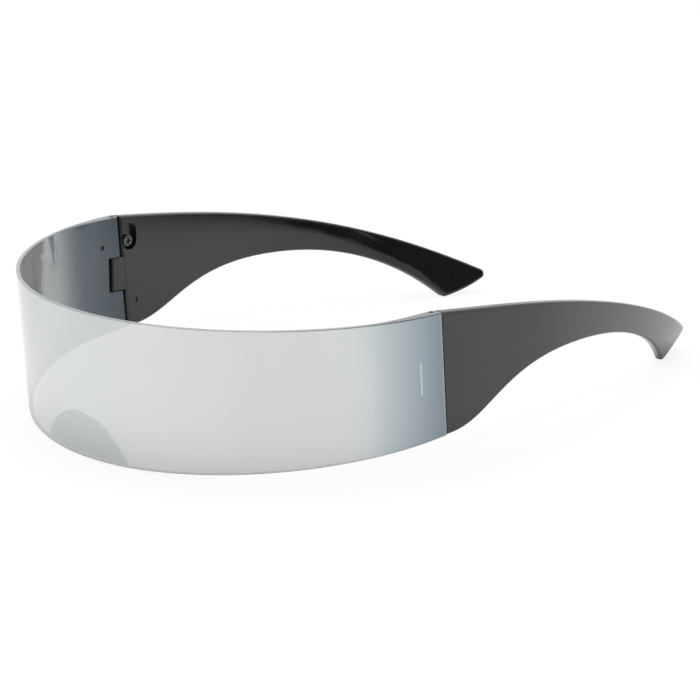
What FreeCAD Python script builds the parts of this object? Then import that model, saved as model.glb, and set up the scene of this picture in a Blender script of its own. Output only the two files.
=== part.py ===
import FreeCAD, Part
import math
import os

V = FreeCAD.Vector

# Shield sunglasses standing open on a table: +Z up, the wearer looks along -Y, +X is the wearer's left.
# All sizes are in millimetres, and all angles in degrees.

# Shield lens: one wrap-around sheet that leans forward at the top
lens_half_width = 66.0        # mid-plane to the outer skin at the hinge seam
lens_depth = 65.4             # front of the top rim to the top of the seam
lens_front_height = 39.0      # table to the level top rim
lens_foot_rise = 6.8          # the lower edge rises this much from the front to the seam
lens_lean = 4.1               # angle of the sheet from upright
lens_wall = 1.1
lens_end_wall = 3.2           # each end of the sheet thickens into a hinge pad
pad_start = 0.77              # place on the plan curve where a pad begins, 0 at the front and 1 at the seam
front_share = 0.5712          # front handle of the plan curve, as a share of the half width
side_share = 0.497            # handle at the seam, as a share of the depth
rim_round = 0.3
mould_pit_radius = 0.7        # small pit on the inner face ahead of each hinge
mould_pit_depth = 0.5
mould_pit_ahead = 6.0
mould_pit_below_rim = 8.0

# Hinge at each end of the lens: a tongue of the temple between two ears of the lens
seam_gap = 0.3                # lens end to temple end
ear_chamfer = 0.9             # inner edge of the lens end, cleared by the folding temple
temple_chamfer = 0.5          # inner edge of the temple end
upper_ear_height = 11.4
lower_ear_height = 10.8
pin_radius = 0.6
pin_ahead = 1.6               # pin axis ahead of the top of the seam
pin_below_rim = 0.15
pin_grip = 4.8                # length of pin in the lower ear
pin_ear_fit = 0.02            # radial clearance in the ears
pin_tongue_fit = 0.05         # radial running clearance in the tongue
tongue_inset = 0.15           # tongue behind the inner face of the temple
tongue_gap = 0.3              # tongue to the floor and the ends of its notch
notch_front_gap = 1.3         # tongue to the front of its notch
skin_wall = 0.7               # outer skin of the lens that covers the notch

# Temple: side outline
temple_length = 119.4         # seam to the rearmost point
temple_round = 0.8
top_handle = 28.3             # handles and angles of the top edge
top_handle_angle = 7.0
tip_handle = 49.8
tip_angle = 29.2
tip_height = 5.7              # table to the centre of the rounded tip
tip_round = 1.4
end_turn = 8.3                # the end edge bulges, and turns by this angle at either corner
toe_ahead = 12.7              # centre of the toe ahead of the rearmost point
toe_round = 1.8
toe_handle = 2.9
toe_angle = 36.0
waist_back = 50.5             # thinnest place of the lower edge, behind the seam
waist_below_rim = 19.1
waist_front_handle = 28.8
waist_rear_handle = 37.1
foot_handle = 15.5            # lower edge just behind the seam

# Temple: plan curves at the level of the top rim and of the table, with the slab ruled between them.
# The lower one bends further inwards, so the end of the temple is turned under the wearer's ear.
temple_tip_wall = 2.9         # across the temple
temple_spare = 4.2            # the curves run past the rearmost point
upper_bend_middle = 7.1       # inward shift of the handle at two thirds of the curve
upper_bend_end = 14.8
lower_bend_middle = 8.0
lower_bend_end = 29.2

# Small moulding tick on the inner face of each temple
tick_back = 5.5
tick_below_rim = 24.8
tick_width = 0.5
tick_height = 1.3
tick_depth = 0.4

# Screw in a pocket on the inner face of each temple
pocket_half_width = 2.4
pocket_length = 7.6
pocket_depth = 1.6
pocket_back = 3.5             # pocket axis behind the top of the seam
pocket_below_rim = 2.4
screw_head_radius = 1.5
screw_head_height = 0.9
screw_recess_width = 0.55     # cross recess
screw_recess_length = 1.9
screw_recess_depth = 0.5
screw_shank_radius = 0.7
screw_cover = 0.6             # wall left between the shank and the outer face
screw_fit = 0.02

# Nose piece: a saddle on the inner face of the lens, tapering to the rear and hollowed for the nose
nose_half_width = 26.4        # outline where the lens is foremost, trimmed by the curved sheet
nose_height = 12.4
nose_rear_half_width = 11.0
nose_rear_height = 7.1
nose_foot_height = 0.5        # foot above the table
nose_depth = 5.0              # lens to the rear of the saddle
nose_flank_run = 0.12         # handles of the outline as shares of its half width and its height
nose_flank_rise = 0.26
nose_crown_handle = 0.28
nose_wall = 2.2
nose_web = 1.5                # wall against the lens
nose_round = 0.5
nose_bond = 0.03              # bond line between the nose piece and the lens

# Places worked out from those sizes
lean_rate = math.tan(math.radians(lens_lean))
lens_top = lens_front_height
right_angle = 90.0
half_turn = 2 * right_angle
inner_half_width = lens_half_width - lens_end_wall
skin_face = lens_half_width - skin_wall
tongue_inner = inner_half_width + tongue_inset
tongue_outer = skin_face - tongue_gap
tongue_half = (tongue_outer - tongue_inner) / 2
tongue_top = lens_top - upper_ear_height - tongue_gap
tongue_bottom = lens_foot_rise + lower_ear_height + tongue_gap
pin_x = (tongue_inner + tongue_outer) / 2
pin_y = -pin_ahead
pin_top = lens_top - pin_below_rim
pin_bottom = lens_foot_rise + lower_ear_height - pin_grip
screw_height = lens_top - pocket_below_rim - pocket_length + pocket_half_width
screw_shank_length = lens_end_wall - pocket_depth - screw_cover
reach = 2 * (lens_half_width + lens_depth)
footprint_centre = (temple_length - lens_depth) / 2


def seam_y(height):
    """Lens end at a height: the sheet leans, so its end runs back towards the foot."""
    return (lens_top - height) * lean_rate


def along(start, length, angle):
    """Point at a distance from a point of a side outline, at an angle above the Y axis."""
    turn = math.radians(angle)
    return start + V(0, length * math.cos(turn), length * math.sin(turn))


def bezier(*points):
    curve = Part.BezierCurve()
    curve.setPoles(list(points))
    return curve.toShape()


def arc(centre, radius, first, last):
    """Arc of a side outline between two angles, through the angle midway."""
    points = [along(centre, radius, angle) for angle in (first, (first + last) / 2, last)]
    return Part.Arc(*points).toShape()


def line(start, end):
    return Part.LineSegment(start, end).toShape()


def prism(edges, direction):
    return Part.Face(Part.Wire(edges)).extrude(direction)


def box(low, high):
    return Part.makeBox(high.x - low.x, high.y - low.y, high.z - low.z, low)


def mirrored(shape):
    return shape.mirror(V(0, 0, 0), V(1, 0, 0))


def plan_curve(wall):
    """Half of the lens in plan at the top rim, from the front to the seam, set in by a wall."""
    front = lens_depth - wall
    half_width = lens_half_width - wall
    curve = Part.BezierCurve()
    curve.setPoles([
        V(0, -front, lens_top),
        V(lens_half_width * front_share * front / lens_depth, -front, lens_top),
        V(half_width, -front * side_share, lens_top),
        V(half_width, 0, lens_top),
    ])
    return curve


def hinge_pad():
    """Inner edge of the left hinge pad in plan: smooth off the thin sheet and square to the seam."""
    sheet = plan_curve(lens_wall)
    start = sheet.value(pad_start)
    end = V(inner_half_width, 0, lens_top)
    handle = start.distanceToPoint(end) / 3
    return bezier(start, start + sheet.tangent(pad_start)[0] * handle, end - V(0, handle, 0), end)


def lens_cavity(gap):
    """Space behind the thin sheet, as far back as the seam, a gap away from its inner face."""
    half = plan_curve(lens_wall + gap).toShape()
    end = half.Vertexes[-1].Point
    down = V(0, lens_top * lean_rate, -lens_top)
    return prism([half, mirrored(half), line(V(-end.x, 0, lens_top), end)], down)


def lens_sheet():
    """Curved leaning sheet, cut below by a plane that rises from the front to the seam."""
    inner = plan_curve(lens_wall)
    inner.segment(0, pad_start)
    end = line(V(inner_half_width, 0, lens_top), V(lens_half_width, 0, lens_top))
    half = [plan_curve(0).toShape(), inner.toShape(), hinge_pad(), end]
    edges = Part.sortEdges(half + [mirrored(edge) for edge in half])[0]
    sheet = prism(edges, V(0, lens_top * lean_rate, -lens_top))
    front_foot = -lens_depth + seam_y(0)
    rise = lens_foot_rise / (seam_y(lens_foot_rise) - front_foot)
    corners = [V(-reach, front_foot - reach, -reach * rise), V(-reach, front_foot + reach, reach * rise)]
    corners += [V(-reach, front_foot + reach, -reach), V(-reach, front_foot - reach, -reach)]
    below = Part.makePolygon(corners + corners[:1])
    sheet = sheet.cut(Part.Face(below).extrude(V(2 * reach, 0, 0)))
    long_edges = [edge for edge in sheet.Edges if edge.Length > 2 * lens_end_wall]
    rims = [edge for edge in long_edges if is_rim(edge, rise, front_foot)]
    return sheet.makeFillet(rim_round, rims)


def is_rim(edge, rise, front_foot):
    """True for an edge that lies in the top plane or in the sloping bottom plane."""
    close = 0.01
    points = edge.discretize(5)
    on_top = all(abs(point.z - lens_top) < close for point in points)
    on_bottom = all(abs(point.z - (point.y - front_foot) * rise) < close for point in points)
    return on_top or on_bottom


def hinge_notch():
    """Blind notch in the left end of the lens, open to the inside and to the rear."""
    front = pin_y - tongue_half - notch_front_gap
    low = V(inner_half_width - lens_end_wall, front, tongue_bottom - tongue_gap)
    high = V(skin_face, seam_y(0) + lens_end_wall, tongue_top + tongue_gap)
    return box(low, high)


def seam_chamfer(seam, cut):
    """Leaning wedge that bevels the inner edge of an end face: a negative cut bevels the lens side."""
    above = lens_top + lens_end_wall
    start = seam + seam_y(above)
    side = abs(cut)
    corners = [
        V(inner_half_width - side, start + 2 * cut, above),
        V(inner_half_width + 2 * side, start - cut, above),
        V(inner_half_width - side, start - cut, above),
    ]
    triangle = Part.Face(Part.makePolygon(corners + corners[:1]))
    return triangle.extrude(V(0, seam_y(0) - seam_y(above), -above))


def upright(radius, low, high):
    return Part.makeCylinder(radius, high - low, V(pin_x, pin_y, low))


def mould_pit():
    """Small pit on the inner face ahead of the left hinge."""
    start = inner_half_width - lens_end_wall
    centre = V(start, -mould_pit_ahead, lens_top - mould_pit_below_rim)
    return Part.makeCylinder(mould_pit_radius, lens_end_wall + mould_pit_depth, centre, V(1, 0, 0))


def shield_lens():
    bore = upright(pin_radius + pin_ear_fit, pin_bottom - pin_ear_fit, lens_top + lens_end_wall)
    cuts = [hinge_notch(), seam_chamfer(0, -ear_chamfer), bore, mould_pit()]
    return lens_sheet().cut(cuts + [mirrored(cut) for cut in cuts])


def hinge_pin():
    return upright(pin_radius, pin_bottom, pin_top)


def temple_outline():
    """Side view of a temple: top edge, rounded tip, sloping end, rounded toe, waist, foot and seam."""
    seam_head = V(0, seam_gap, lens_top)
    seam_foot = V(0, seam_y(lens_foot_rise) + seam_gap, lens_foot_rise)
    tip = V(0, temple_length - tip_round, tip_height)
    toe = V(0, temple_length - toe_ahead, toe_round)
    waist = V(0, waist_back, lens_top - waist_below_rim)
    # The end runs along the line that touches both rounded corners from behind and below
    span = tip - toe
    slope = math.degrees(math.atan2(span.z, span.y))
    slope += math.degrees(math.asin((toe_round - tip_round) / span.Length))
    tip_start = along(tip, tip_round, right_angle - tip_angle)
    toe_end = along(toe, toe_round, -right_angle - toe_angle)
    top_edge = bezier(
        seam_head,
        along(seam_head, top_handle, -top_handle_angle),
        along(tip_start, tip_handle, half_turn - tip_angle),
        tip_start,
    )
    toe_edge = bezier(
        toe_end,
        along(toe_end, toe_handle, half_turn - toe_angle),
        along(waist, waist_rear_handle, 0),
        waist,
    )
    foot_edge = bezier(
        waist,
        along(waist, waist_front_handle, half_turn),
        along(seam_foot, foot_handle, 0),
        seam_foot,
    )
    tip_facing = slope - right_angle + end_turn
    toe_facing = slope - right_angle - end_turn
    end_high = along(tip, tip_round, tip_facing)
    end_low = along(toe, toe_round, toe_facing)
    end_handle = end_high.distanceToPoint(end_low) / 3
    end_edge = bezier(
        end_high,
        along(end_high, end_handle, tip_facing - right_angle),
        along(end_low, end_handle, toe_facing + right_angle),
        end_low,
    )
    tip_arc = arc(tip, tip_round, right_angle - tip_angle, tip_facing)
    toe_arc = arc(toe, toe_round, toe_facing, -right_angle - toe_angle)
    return [top_edge, tip_arc, end_edge, toe_arc, toe_edge, foot_edge, line(seam_foot, seam_head)]


def temple_plan(height):
    """Closed plan of the left temple at a height: the outer and the inner face with their ends joined."""
    fall = (lens_top - height) / lens_top
    middle = upper_bend_middle + fall * (lower_bend_middle - upper_bend_middle)
    end = upper_bend_end + fall * (lower_bend_end - upper_bend_end)
    thinning = lens_end_wall - temple_tip_wall
    step = (temple_length + temple_spare) / 3
    faces = []
    for start, gain in ((lens_half_width, 0), (inner_half_width, thinning / 3)):
        faces.append([
            V(start, 0, height),
            V(start + gain, step, height),
            V(start + 2 * gain - middle, 2 * step, height),
            V(start + 3 * gain - end, 3 * step, height),
        ])
    outer, inner = faces
    inner.reverse()
    return Part.Wire([bezier(*outer), line(outer[-1], inner[0]), bezier(*inner), line(inner[-1], outer[0])])


def temple_slab():
    """Upright slab between the two faces of the left temple, taller than its outline."""
    levels = [-temple_spare, lens_top + temple_spare]
    return Part.makeLoft([temple_plan(level) for level in levels], True, True)


def temple_blank():
    """Slab cut to the side outline, with its long edges rounded."""
    side = prism(temple_outline(), V(reach, 0, 0))
    blank = side.common(temple_slab()).Solids[0]
    broad = sorted(blank.Faces, key=lambda face: face.Area)[-2:]
    seam = min(blank.Faces, key=lambda face: face.CenterOfMass.y)
    long_edges = [edge for face in broad for edge in face.Edges]
    long_edges = [edge for edge in long_edges if not any(edge.isSame(other) for other in seam.Edges)]
    return blank.makeFillet(temple_round, long_edges)


def tongue():
    """Hinge tongue with a round end about the pin."""
    root = seam_y(tongue_bottom) + seam_gap + tongue_half
    plate = box(V(tongue_inner, pin_y, tongue_bottom), V(tongue_outer, root, tongue_top))
    return plate.fuse(upright(tongue_half, tongue_bottom, tongue_top))


def pocket_end(height):
    """Round end of the screw pocket, cut outwards from the inner face."""
    start = V(inner_half_width - lens_end_wall, pocket_back, height)
    return Part.makeCylinder(pocket_half_width, lens_end_wall + pocket_depth, start, V(1, 0, 0))


def screw_pocket():
    upper = lens_top - pocket_below_rim - pocket_half_width
    start = inner_half_width - lens_end_wall
    middle = box(
        V(start, pocket_back - pocket_half_width, screw_height),
        V(inner_half_width + pocket_depth, pocket_back + pocket_half_width, upper),
    )
    return pocket_end(upper).fuse([middle, pocket_end(screw_height)])


def screw_part(radius, start, length):
    floor = V(inner_half_width + pocket_depth + start, pocket_back, screw_height)
    return Part.makeCylinder(radius, length, floor, V(1, 0, 0))


def temple_screw():
    """Screw with a cross recess, sitting on the floor of the pocket."""
    head = screw_part(screw_head_radius, -screw_head_height, screw_head_height)
    shank = screw_part(screw_shank_radius, 0, screw_shank_length)
    face = inner_half_width + pocket_depth - screw_head_height
    narrow = screw_recess_width / 2
    wide = screw_recess_length / 2
    recess = []
    for across, up in ((narrow, wide), (wide, narrow)):
        low = V(face, pocket_back - across, screw_height - up)
        recess.append(box(low, V(face + screw_recess_depth, pocket_back + across, screw_height + up)))
    return head.fuse(shank).cut(recess).removeSplitter()


def mould_tick():
    """Small upright tick, cut outwards from the inner face of the left temple."""
    middle = lens_top - tick_below_rim
    return box(
        V(inner_half_width - tick_depth, tick_back - tick_width / 2, middle - tick_height / 2),
        V(inner_half_width + tick_depth, tick_back + tick_width / 2, middle + tick_height / 2),
    )


def temple():
    """Left temple: blank and tongue, with the pin bore, the screw pocket, the screw hole and the tick."""
    body = temple_blank().cut(seam_chamfer(seam_gap, temple_chamfer)).fuse(tongue())
    bore = upright(pin_radius + pin_tongue_fit, tongue_bottom - tongue_gap, tongue_top + tongue_gap)
    hole = screw_part(screw_shank_radius + screw_fit, -screw_fit, screw_shank_length + 2 * screw_fit)
    return body.cut([bore, screw_pocket(), hole, mould_tick()])


def bell(half_width, height, y):
    """Closed outline across the nose: two flanks that meet in a round crown."""
    foot = nose_foot_height
    crown = foot + height
    half = bezier(
        V(half_width, y, foot),
        V(half_width * (1 - nose_flank_run), y, foot + height * nose_flank_rise),
        V(half_width * nose_crown_handle, y, crown),
        V(0, y, crown),
    )
    base = line(V(-half_width, y, foot), V(half_width, y, foot))
    return Part.Wire(Part.sortEdges([half, mirrored(half), base])[0])


def nose_piece():
    """Saddle seated on the inner face of the lens, hollowed from the rear and from below."""
    front = -lens_depth + lens_wall
    face = front + seam_y(nose_foot_height)
    rear = face + nose_depth
    front_bell = bell(nose_half_width, nose_height, front)
    rear_bell = bell(nose_rear_half_width, nose_rear_height, rear)
    saddle = Part.makeLoft([front_bell, rear_bell], True, True).common(lens_cavity(nose_bond))
    hollow = bell(nose_rear_half_width - nose_wall, nose_rear_height - nose_wall, face + nose_web)
    shell = saddle.cut(Part.Face(hollow).extrude(V(0, nose_depth, 0))).Solids[0]
    back = max(shell.Faces, key=lambda side: side.CenterOfMass.y)
    curved = [edge for edge in back.Edges if isinstance(edge.Curve, (Part.BezierCurve, Part.BSplineCurve))]
    return shell.makeFillet(nose_round, curved)


pieces = {
    "shield_lens": shield_lens(),
    "nose_piece": nose_piece(),
    "left_temple": temple(),
    "left_hinge_pin": hinge_pin(),
    "left_temple_screw": temple_screw(),
}
for name in ("temple", "hinge_pin", "temple_screw"):
    pieces["right_" + name] = mirrored(pieces["left_" + name])

os.makedirs("parts", exist_ok=True)
for name, shape in pieces.items():
    shape.translate(V(0, -footprint_centre, 0))
    shape.exportStep("parts/" + name + ".step")
    print(name, "solids", len(shape.Solids), "valid", shape.isValid(), "volume", round(shape.Volume, 1))
print("hinge axis at", round(pin_x, 4), round(pin_y - footprint_centre, 4))
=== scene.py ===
import math

import bmesh
import bpy
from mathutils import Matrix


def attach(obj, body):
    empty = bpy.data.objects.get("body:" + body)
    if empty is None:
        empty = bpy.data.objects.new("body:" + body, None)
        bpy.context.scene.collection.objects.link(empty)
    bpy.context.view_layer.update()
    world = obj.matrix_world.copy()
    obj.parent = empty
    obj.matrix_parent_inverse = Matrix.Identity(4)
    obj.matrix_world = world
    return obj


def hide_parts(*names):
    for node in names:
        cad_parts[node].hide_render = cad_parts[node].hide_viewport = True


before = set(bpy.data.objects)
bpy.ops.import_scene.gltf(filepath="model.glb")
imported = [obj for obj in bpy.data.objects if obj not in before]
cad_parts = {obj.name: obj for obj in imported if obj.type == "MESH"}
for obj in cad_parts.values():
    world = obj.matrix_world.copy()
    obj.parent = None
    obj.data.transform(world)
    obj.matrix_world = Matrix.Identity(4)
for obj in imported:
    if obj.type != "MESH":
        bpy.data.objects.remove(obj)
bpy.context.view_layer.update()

MM = 0.001

# Camera at the photograph's viewing angle
CAMERA_POINT = (0.54297, -0.48942, 0.23168)
CAMERA_AZIMUTH = 47.82
CAMERA_ELEVATION = 16.94
CAMERA_LENS = 145.12
CAMERA_SENSOR = 36.0
CAMERA_NEAR = 0.01

# Lens: places in the frame that grade its coat and its tint
LENS_TOP = 39.0 * MM
LENS_FRONT = -92.4 * MM
LENS_SEAM = -27.0 * MM
LENS_LEAN = math.tan(math.radians(4.1))

# Lens: limits of the faces that take one finish
SHEET_SLOPE = 0.08
FRONT_SLOPE = 0.9
RIM_SLOPE = 0.45
FOOT_SLOPE = -0.3
SKIN_ANGLE = math.radians(25)

# Corner of the hinge notch, over which a painted highlight lies on the coat as a pale upright line
NOTCH_RUN = 0.889
NOTCH_HALF_RUN = 0.002
NOTCH_SOFT_RUN = 0.003
NOTCH_MIDDLE = 23.1 * MM
NOTCH_HALF_HEIGHT = 3.9 * MM
NOTCH_SOFT_HEIGHT = 0.5 * MM

# Arms: stretch over which the mould's finish turns from satin to polished
ARM_SATIN = -27.0 * MM
ARM_POLISHED = 45.0 * MM
SATIN_ROUGHNESS = 0.28

# Arms: stretch over which the shine changes towards the tip
SHINE_START = 10.0 * MM
SHINE_END = 70.0 * MM
PLAIN_SHINE = 0.5

# Arms: crown of the inner face about a middle line that falls with the cube of the way to the tip
INNER_SLOPE = 0.8
CROWN_RADIUS = 100.0 * MM
CREST_HEIGHT = 30.3 * MM
CREST_PLACE = 12.0 * MM
CREST_FALL = 7.4e-5 / MM ** 2

# Index of refraction of the lens stock, the arms and the nose piece
LENS_INDEX = 1.585
ARM_INDEX = 1.6
RUBBER_INDEX = 1.5

# Span of a noise texture that holds most of its values
NOISE_SPAN = {"From Min": 0.3, "From Max": 0.7}

# Direction of the unlit side of the room, and the cosines to it over which the surround darkens
DARK_SIDE = (0.93, 0.0, 0.37)
DARK_FROM = 0.72
DARK_FULL = 0.78
DARK_LEVEL = 0.06

# Reach of the white paper, which ends nearer on the unlit side, and the shares of its own white
PAPER_REACH = 4.0
PAPER_END = 0.25
PAPER_SEEN = 0.85
PAPER_MIRRORED = 0.15

# Soft overhead lamp
LAMP_SIZE = 1.2
LAMP_POWER = 9.0
LAMP_HEIGHT = 1.3

# Meshing of the copies of the solids
WELD = 0.002 * MM
SHARP_ANGLE = math.radians(32)
FACE_WEIGHT = 100


def linear(code):
    """Linear colour from an sRGB hex value."""
    parts = [int(code[at:at + 2], 16) / 255 for at in (0, 2, 4)]
    return [part / 12.92 if part <= 0.04045 else ((part + 0.055) / 1.055) ** 2.4 for part in parts] + [1.0]


def add(tree, kind, inputs=None, stops=None, **settings):
    """Adds a node: inputs are values, sockets or nodes, stops the places and hex colours of a ramp."""
    node = tree.nodes.new(kind)
    for name, value in settings.items():
        setattr(node, name, value)
    for key, value in (inputs or {}).items():
        if isinstance(value, bpy.types.Node):
            value = value.outputs[0]
        if isinstance(value, bpy.types.NodeSocket):
            tree.links.new(value, node.inputs[key])
        else:
            node.inputs[key].default_value = value
    if stops:
        elements = node.color_ramp.elements
        elements.remove(elements[-1])
        for at, (place, code) in enumerate(stops):
            element = elements.new(place) if at else elements[0]
            element.position = place
            element.color = linear(code)
    return node


def new_material(name):
    material = bpy.data.materials.new(name)
    material.use_nodes = True
    material.node_tree.nodes.clear()
    return material, material.node_tree


def lens_run(tree, place):
    """0 at the front of the lens, 1 at its leaning hinge seam."""
    axis = add(tree, "ShaderNodeSeparateXYZ", {"Vector": place}).outputs
    drop = add(tree, "ShaderNodeMath", {0: LENS_TOP, 1: axis["Z"]}, operation="SUBTRACT")
    lean = add(tree, "ShaderNodeMath", {0: drop, 1: LENS_LEAN}, operation="MULTIPLY")
    level = add(tree, "ShaderNodeMath", {0: axis["Y"], 1: lean}, operation="SUBTRACT")
    return add(tree, "ShaderNodeMapRange", {"Value": level, "From Min": LENS_FRONT, "From Max": LENS_SEAM})


def painted_notch_glint(tree, place, run):
    """1 on the painted highlight, an upright line over the corner of the hinge notch, 0 elsewhere."""
    height = add(tree, "ShaderNodeSeparateXYZ", {"Vector": place}).outputs["Z"]
    limits = (
        (run, NOTCH_RUN, NOTCH_HALF_RUN, NOTCH_SOFT_RUN),
        (height, NOTCH_MIDDLE, NOTCH_HALF_HEIGHT, NOTCH_SOFT_HEIGHT),
    )
    shares = []
    for value, middle, half, soft in limits:
        offset = add(tree, "ShaderNodeMath", {0: value, 1: middle}, operation="SUBTRACT")
        away = add(tree, "ShaderNodeMath", {0: offset}, operation="ABSOLUTE")
        fade = {"Value": away, "From Min": half, "From Max": half + soft, "To Min": 1.0, "To Max": 0.0}
        shares.append(add(tree, "ShaderNodeMapRange", fade))
    return add(tree, "ShaderNodeMath", {0: shares[0], 1: shares[1]}, operation="MULTIPLY")


def mirror_coat():
    """Silver flash, vacuum-deposited: bright and neutral in front, thin and blue-grey at the hinges."""
    material, tree = new_material("silver_flash_mirror_coat")
    place = add(tree, "ShaderNodeTexCoord").outputs["Object"]
    run = lens_run(tree, place)
    silver = add(tree, "ShaderNodeValToRGB", {"Fac": run}, [
        (0.0, "d7dada"),
        (0.3, "cecfcd"),
        (0.57, "cbcecd"),
        (0.66, "c8cbcc"),
        (0.72, "b8c1c3"),
        (0.86, "9da6ad"),
        (0.99, "828d96"),
        # The last stop is a painted highlight: a pale line along the hinge seam, where a rounded edge would
        # catch light
        (0.996, "909aa1"),
    ])
    line = painted_notch_glint(tree, place, run)
    # Painted highlight: the pale line over the notch corner is mixed into the silver
    tint_and_painted_light = add(tree, "ShaderNodeMix", {0: line, 6: silver, 7: linear("bac5cc")}, data_type="RGBA")
    # Slow ripples of the sheet, about 9 mm across
    ripple = add(tree, "ShaderNodeTexNoise", {"Vector": place, "Scale": 1 / (9 * MM), "Detail": 2.0})
    gloss = {**NOISE_SPAN, "Value": ripple, "To Min": 0.02, "To Max": 0.06}
    cover = {"Value": run, "From Min": 0.45, "From Max": 0.85, "To Min": 0.8, "To Max": 0.97}
    shader = add(tree, "ShaderNodeBsdfPrincipled", {
        "Base Color": tint_and_painted_light.outputs[2],
        "Metallic": 1.0,
        "Roughness": add(tree, "ShaderNodeMapRange", gloss),
        "Alpha": add(tree, "ShaderNodeMapRange", cover),
    })
    add(tree, "ShaderNodeOutputMaterial", {"Surface": shader})
    return material


def smoke_polycarbonate():
    """Injection-moulded smoke polycarbonate: dark, clear and polished, deeper in the thick hinge pads."""
    material, tree = new_material("smoke_polycarbonate")
    place = add(tree, "ShaderNodeTexCoord").outputs["Object"]
    run = lens_run(tree, place)
    # The tint is lighter from 0.62 to 0.7 of the run: a painted reflection band on the inner wall
    tint_and_painted_light = add(tree, "ShaderNodeValToRGB", {"Fac": run}, [
        (0.0, "3a4046"),
        (0.5, "4a5055"),
        (0.62, "7a8084"),
        (0.7, "7a8389"),
        (0.77, "68747f"),
        (0.84, "58656f"),
        (0.91, "49565f"),
        (0.97, "3d4c55"),
    ])
    # Slow ripples of the sheet, about 12 mm across
    ripple = add(tree, "ShaderNodeTexNoise", {"Vector": place, "Scale": 1 / (12 * MM), "Detail": 2.0})
    gloss = {**NOISE_SPAN, "Value": ripple, "To Min": 0.02, "To Max": 0.05}
    depth = {"Value": run, "From Min": 0.64, "From Max": 0.86, "To Min": 0.42, "To Max": 0.95}
    shader = add(tree, "ShaderNodeBsdfPrincipled", {
        "Base Color": tint_and_painted_light,
        "IOR": LENS_INDEX,
        "Roughness": add(tree, "ShaderNodeMapRange", gloss),
        "Alpha": add(tree, "ShaderNodeMapRange", depth),
    })
    add(tree, "ShaderNodeOutputMaterial", {"Surface": shader})
    return material


def polished_edge_in_painted_light(name, stops):
    """Trimmed and polished edge of the sheet, whose ramp paints a highlight or a shade on it."""
    material, tree = new_material(name)
    place = add(tree, "ShaderNodeTexCoord").outputs["Object"]
    # The ramp gives painted light and shade, not the depth of the smoke tint
    tint_and_painted_light = add(tree, "ShaderNodeValToRGB", {"Fac": lens_run(tree, place)}, stops)
    # Marks of the polishing wheel, about 1.5 mm apart
    marks = add(tree, "ShaderNodeTexNoise", {"Vector": place, "Scale": 1 / (1.5 * MM), "Detail": 2.0})
    gloss = {**NOISE_SPAN, "Value": marks, "To Min": 0.1, "To Max": 0.22}
    shader = add(tree, "ShaderNodeBsdfPrincipled", {
        "Base Color": tint_and_painted_light,
        "IOR": LENS_INDEX,
        "Alpha": 0.9,
        "Roughness": add(tree, "ShaderNodeMapRange", gloss),
    })
    add(tree, "ShaderNodeOutputMaterial", {"Surface": shader})
    return material


def inner_crown(tree, axis):
    """Relief of the crowned inner face of an arm, whose middle line falls towards the tip."""
    along = add(tree, "ShaderNodeMath", {0: axis["Y"], 1: CREST_PLACE}, operation="SUBTRACT")
    cube = add(tree, "ShaderNodeMath", {0: along, 1: 3.0}, operation="POWER")
    fall = add(tree, "ShaderNodeMath", {0: cube, 1: CREST_FALL}, operation="MULTIPLY")
    middle = add(tree, "ShaderNodeMath", {0: CREST_HEIGHT, 1: fall}, operation="SUBTRACT")
    across = add(tree, "ShaderNodeMath", {0: axis["Z"], 1: middle}, operation="SUBTRACT")
    arch = add(tree, "ShaderNodeMath", {0: across, 1: across}, operation="MULTIPLY")
    relief = add(tree, "ShaderNodeMath", {0: arch, 1: -0.5 / CROWN_RADIUS}, operation="MULTIPLY")
    return add(tree, "ShaderNodeBump", {"Height": relief, "Strength": 1.0, "Distance": 1.0})


def black_polycarbonate(name, polished, shine, crowned):
    """Black polycarbonate from a mould that is satin at the hinges and polished towards the tips."""
    material, tree = new_material(name)
    place = add(tree, "ShaderNodeTexCoord").outputs["Object"]
    axis = add(tree, "ShaderNodeSeparateXYZ", {"Vector": place}).outputs
    finish = {"From Min": ARM_SATIN, "From Max": ARM_POLISHED, "To Min": SATIN_ROUGHNESS, "To Max": polished}
    glint = {"From Min": SHINE_START, "From Max": SHINE_END, "To Min": PLAIN_SHINE, "To Max": shine}
    # Flow marks of the moulding, about 10 mm across
    flow = add(tree, "ShaderNodeTexNoise", {"Vector": place, "Scale": 1 / (10 * MM), "Detail": 2.0})
    marks = {**NOISE_SPAN, "Value": flow, "To Min": -0.02, "To Max": 0.02}
    rough = {
        0: add(tree, "ShaderNodeMapRange", {"Value": axis["Y"], **finish}),
        1: add(tree, "ShaderNodeMapRange", marks),
    }
    inputs = {
        "Base Color": add(tree, "ShaderNodeValToRGB", {"Fac": flow}, [(0.3, "141518"), (0.7, "191a1d")]),
        "IOR": ARM_INDEX,
        "Specular IOR Level": add(tree, "ShaderNodeMapRange", {"Value": axis["Y"], **glint}),
        "Roughness": add(tree, "ShaderNodeMath", rough, operation="ADD"),
    }
    if crowned:
        inputs["Normal"] = inner_crown(tree, axis)
    shader = add(tree, "ShaderNodeBsdfPrincipled", inputs)
    add(tree, "ShaderNodeOutputMaterial", {"Surface": shader})
    return material


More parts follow.
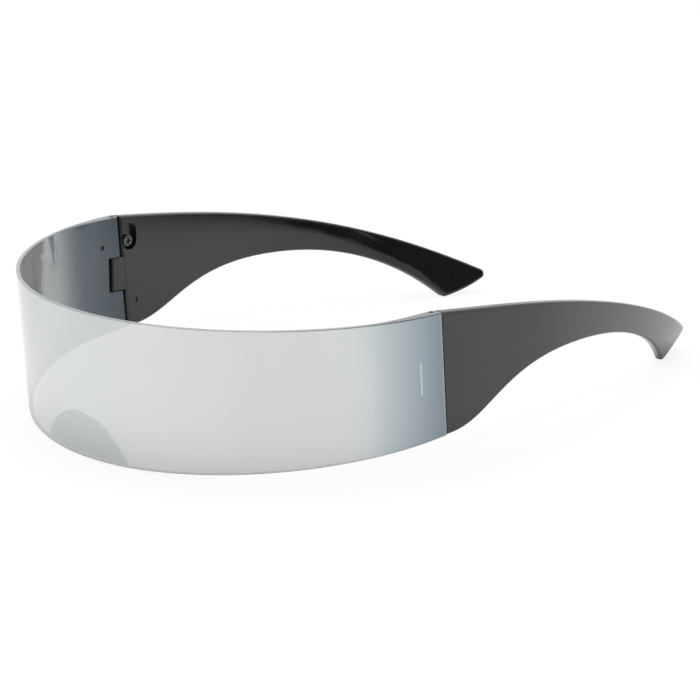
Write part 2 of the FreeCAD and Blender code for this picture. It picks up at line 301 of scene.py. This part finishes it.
def matte_rubber():
    """Moulded thermoplastic rubber with a fine matte grain, drawn at 0.4 mm so that it shows."""
    material, tree = new_material("matte_black_rubber")
    place = add(tree, "ShaderNodeTexCoord").outputs["Object"]
    grain = add(tree, "ShaderNodeTexNoise", {"Vector": place, "Scale": 1 / (0.4 * MM), "Detail": 2.0})
    relief = {"Height": grain, "Strength": 0.25, "Distance": 0.05 * MM}
    # Cloudy bloom on the surface, about 4 mm across
    bloom = add(tree, "ShaderNodeTexNoise", {"Vector": place, "Scale": 1 / (4 * MM), "Detail": 2.0})
    dull = {**NOISE_SPAN, "Value": bloom, "To Min": 0.5, "To Max": 0.65}
    shader = add(tree, "ShaderNodeBsdfPrincipled", {
        "Base Color": add(tree, "ShaderNodeValToRGB", {"Fac": bloom}, [(0.3, "1c1d20"), (0.7, "242528")]),
        "IOR": RUBBER_INDEX,
        "Roughness": add(tree, "ShaderNodeMapRange", dull),
        "Normal": add(tree, "ShaderNodeBump", relief),
    })
    add(tree, "ShaderNodeOutputMaterial", {"Surface": shader})
    return material


def turned_steel():
    """Turned stainless steel with fine tool marks, drawn at 0.15 mm so that they show."""
    material, tree = new_material("turned_stainless_steel")
    place = add(tree, "ShaderNodeTexCoord").outputs["Object"]
    marks = add(tree, "ShaderNodeTexNoise", {"Vector": place, "Scale": 1 / (0.15 * MM), "Detail": 2.0})
    cut = {**NOISE_SPAN, "Value": marks, "To Min": 0.25, "To Max": 0.42}
    # Stain of the heat treatment, about 0.6 mm across
    stain = add(tree, "ShaderNodeTexNoise", {"Vector": place, "Scale": 1 / (0.6 * MM), "Detail": 2.0})
    shader = add(tree, "ShaderNodeBsdfPrincipled", {
        "Base Color": add(tree, "ShaderNodeValToRGB", {"Fac": stain}, [(0.3, "505153"), (0.7, "67686a")]),
        "Metallic": 1.0,
        "Roughness": add(tree, "ShaderNodeMapRange", cut),
    })
    add(tree, "ShaderNodeOutputMaterial", {"Surface": shader})
    return material


def smooth_copy(node, name, body, materials):
    """Welded copy of a CAD node with smooth normals that keep the crisp edges."""
    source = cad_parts[node].data
    mesh = bpy.data.meshes.new(name)
    points = [vertex.co for vertex in source.vertices]
    mesh.from_pydata(points, [], [list(polygon.vertices) for polygon in source.polygons])
    weld = bmesh.new()
    weld.from_mesh(mesh)
    bmesh.ops.remove_doubles(weld, verts=weld.verts, dist=WELD)
    weld.to_mesh(mesh)
    weld.free()
    mesh.polygons.foreach_set("use_smooth", [True] * len(mesh.polygons))
    mesh.set_sharp_from_angle(angle=SHARP_ANGLE)
    piece = bpy.data.objects.new(name, mesh)
    bpy.context.scene.collection.objects.link(piece)
    weights = piece.modifiers.new("weights", "WEIGHTED_NORMAL")
    weights.keep_sharp = True
    weights.weight = FACE_WEIGHT
    graph = bpy.context.evaluated_depsgraph_get()
    piece.data = bpy.data.meshes.new_from_object(piece.evaluated_get(graph))
    piece.modifiers.clear()
    for material in materials:
        piece.data.materials.append(material)
    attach(piece, body)
    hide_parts(node)
    return piece


def lens_skin(seed):
    """Indices of the smooth faces around a seed face of the lens, up to its crisp edges and its rims."""
    found = {seed}
    queue = [seed]
    while queue:
        face = queue.pop()
        for other in {other for edge in face.edges for other in edge.link_faces} - found:
            if FOOT_SLOPE < other.normal.z < RIM_SLOPE and face.normal.angle(other.normal) < SKIN_ANGLE:
                found.add(other)
                queue.append(other)
    return {face.index for face in found}


def sort_lens_faces(mesh):
    """Finish of each face: 0 coated skin, 1 inner skin, 2 upper rim and seam in painted highlight, 3 lower
    rim and 4 hinge in painted shade.
    """
    net = bmesh.new()
    net.from_mesh(mesh)
    sheet = [face for face in net.faces if abs(face.normal.z) < SHEET_SLOPE]
    front = sorted(sheet, key=lambda face: face.calc_center_median().y)
    coated = lens_skin(next(face for face in front if face.normal.y < -FRONT_SLOPE))
    inner = lens_skin(next(face for face in front if face.normal.y > FRONT_SLOPE))
    net.free()
    for polygon in mesh.polygons:
        slope = polygon.normal.z
        if polygon.index in coated:
            polygon.material_index = 0
        elif polygon.index in inner:
            polygon.material_index = 1
        elif slope > RIM_SLOPE or polygon.normal.y > RIM_SLOPE:
            polygon.material_index = 2
        else:
            polygon.material_index = 3 if slope < FOOT_SLOPE else 4


def sort_arm_faces(mesh, outward):
    """Finish of each face of an arm: 0 outside and edges, 1 inner face."""
    for polygon in mesh.polygons:
        polygon.material_index = 1 if polygon.normal.x * outward < -INNER_SLOPE else 0


def dress():
    """Replaces the CAD nodes by smooth copies with their finishes."""
    # Upper rim and seam: painted highlight, lighter in front
    upper_rim = [(0.0, "9a9fa0"), (0.6, "9a9fa0"), (0.8, "7a8187"), (1.0, "70777d")]
    finishes = [
        mirror_coat(),
        smoke_polycarbonate(),
        polished_edge_in_painted_light("polished_upper_rim_painted_highlight", upper_rim),
        # Lower rim: painted shade, dark as the shadow where the lens meets the paper
        polished_edge_in_painted_light("trimmed_lower_rim_painted_shade", [(0.0, "33373a"), (1.0, "2a2e32")]),
        # Hinge recess: painted shade, near black
        polished_edge_in_painted_light("moulded_hinge_recess_painted_shade", [(0.0, "1d2125"), (1.0, "191c20")]),
    ]
    lens = smooth_copy("shield_lens", "mirror_shield", "front", finishes)
    sort_lens_faces(lens.data)
    smooth_copy("nose_piece", "nose_saddle", "front", [matte_rubber()])
    black = [
        black_polycarbonate("moulded_black_polycarbonate", polished=0.09, shine=1.0, crowned=False),
        black_polycarbonate("polished_black_polycarbonate", polished=0.07, shine=0.35, crowned=True),
    ]
    steel = turned_steel()
    for side, outward in (("left", 1), ("right", -1)):
        arm = smooth_copy(side + "_temple", side + "_arm_moulding", side + "_arm", black)
        sort_arm_faces(arm.data, outward)
        smooth_copy(side + "_temple_screw", side + "_screw", side + "_arm", [steel])
        smooth_copy(side + "_hinge_pin", side + "_pin", "front", [steel])


def build_camera():
    data = bpy.data.cameras.new("camera")
    data.lens = CAMERA_LENS
    data.sensor_width = CAMERA_SENSOR
    data.clip_start = CAMERA_NEAR
    camera = bpy.data.objects.new("camera", data)
    camera.location = CAMERA_POINT
    camera.rotation_euler = (math.radians(90 - CAMERA_ELEVATION), 0, math.radians(CAMERA_AZIMUTH))
    bpy.context.scene.collection.objects.link(camera)
    bpy.context.scene.camera = camera


def white_paper():
    """Matte white sweep that keeps part of the soft shadow, and more of it in reflections."""
    material, tree = new_material("white_paper_sweep")
    rays = add(tree, "ShaderNodeLightPath").outputs
    seen = add(tree, "ShaderNodeMath", {0: rays["Is Camera Ray"], 1: PAPER_SEEN}, operation="MULTIPLY")
    through = {0: rays["Is Glossy Ray"], 1: rays["Is Transmission Ray"]}
    mirrored = add(tree, "ShaderNodeMath", through, operation="MAXIMUM")
    part = add(tree, "ShaderNodeMath", {0: mirrored, 1: PAPER_MIRRORED}, operation="MULTIPLY")
    share = add(tree, "ShaderNodeMath", {0: seen, 1: part}, operation="MAXIMUM")
    matte = add(tree, "ShaderNodeBsdfDiffuse", {"Color": linear("f4f4f4")})
    glow = add(tree, "ShaderNodeEmission", {"Color": (1, 1, 1, 1), "Strength": 1.0})
    mixed = add(tree, "ShaderNodeMixShader", {0: share, 1: matte, 2: glow})
    add(tree, "ShaderNodeOutputMaterial", {"Surface": mixed})
    return material


def build_stage():
    mesh = bpy.data.meshes.new("floor")
    far = -PAPER_REACH
    corners = [(far, far, 0), (PAPER_END, far, 0), (PAPER_END, PAPER_REACH, 0), (far, PAPER_REACH, 0)]
    mesh.from_pydata(corners, [], [(0, 1, 2, 3)])
    floor = bpy.data.objects.new("floor", mesh)
    bpy.context.scene.collection.objects.link(floor)
    floor.data.materials.append(white_paper())


def build_lights():
    """A white surround that is unlit on one side above the table, and one soft overhead lamp."""
    world = bpy.data.worlds.new("studio")
    world.use_nodes = True
    tree = world.node_tree
    tree.nodes.clear()
    toward = add(tree, "ShaderNodeTexCoord").outputs["Generated"]
    cosine = add(tree, "ShaderNodeVectorMath", {0: toward, 1: DARK_SIDE}, operation="DOT_PRODUCT")
    fall = {"From Min": DARK_FROM, "From Max": DARK_FULL, "To Min": 1.0, "To Max": DARK_LEVEL}
    lit = add(tree, "ShaderNodeMapRange", {"Value": cosine.outputs["Value"], **fall})
    seen = add(tree, "ShaderNodeLightPath").outputs["Is Camera Ray"]
    strength = add(tree, "ShaderNodeMath", {0: seen, 1: lit}, operation="MAXIMUM")
    surround = add(tree, "ShaderNodeBackground", {"Color": (1, 1, 1, 1), "Strength": strength})
    add(tree, "ShaderNodeOutputWorld", {"Surface": surround})
    bpy.context.scene.world = world
    data = bpy.data.lights.new("overhead_softbox", "AREA")
    data.size = LAMP_SIZE
    data.energy = LAMP_POWER
    lamp = bpy.data.objects.new("overhead_softbox", data)
    lamp.location = (0, 0, LAMP_HEIGHT)
    bpy.context.scene.collection.objects.link(lamp)


build_camera()
build_stage()
build_lights()
dress()
bpy.context.scene.view_settings.view_transform = "Standard"
